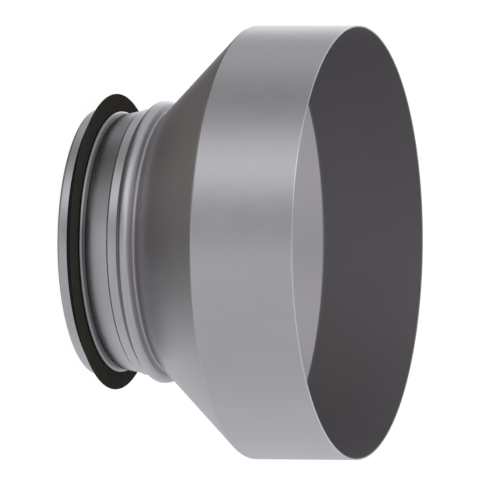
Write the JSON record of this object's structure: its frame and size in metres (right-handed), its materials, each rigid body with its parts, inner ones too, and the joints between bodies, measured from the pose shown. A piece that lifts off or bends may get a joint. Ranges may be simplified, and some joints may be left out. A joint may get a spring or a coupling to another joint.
{
  "type": "duct reducer",
  "caption": "Round sheet-metal duct reducer: a wide open mouth, a short straight cone and a narrow spigot with a rolled stop bead and a black rubber lip seal.",
  "frame": {"origin": "on the axis, in the plane of the spigot's folded end, which the reducer stands on", "axes": "+Z along the axis of the duct, from the narrow spigot up to the wide mouth"},
  "size_m": [0.1614, 0.1614, 0.1015],
  "materials": {
    "galvanised_steel": "satin galvanised sheet",
    "seal_rubber": "matte moulded rubber"
  },
  "bodies": {
    "root": {"reducer_body": "galvanised_steel", "lip_seal": "seal_rubber"}
  },
  "joints": []
}
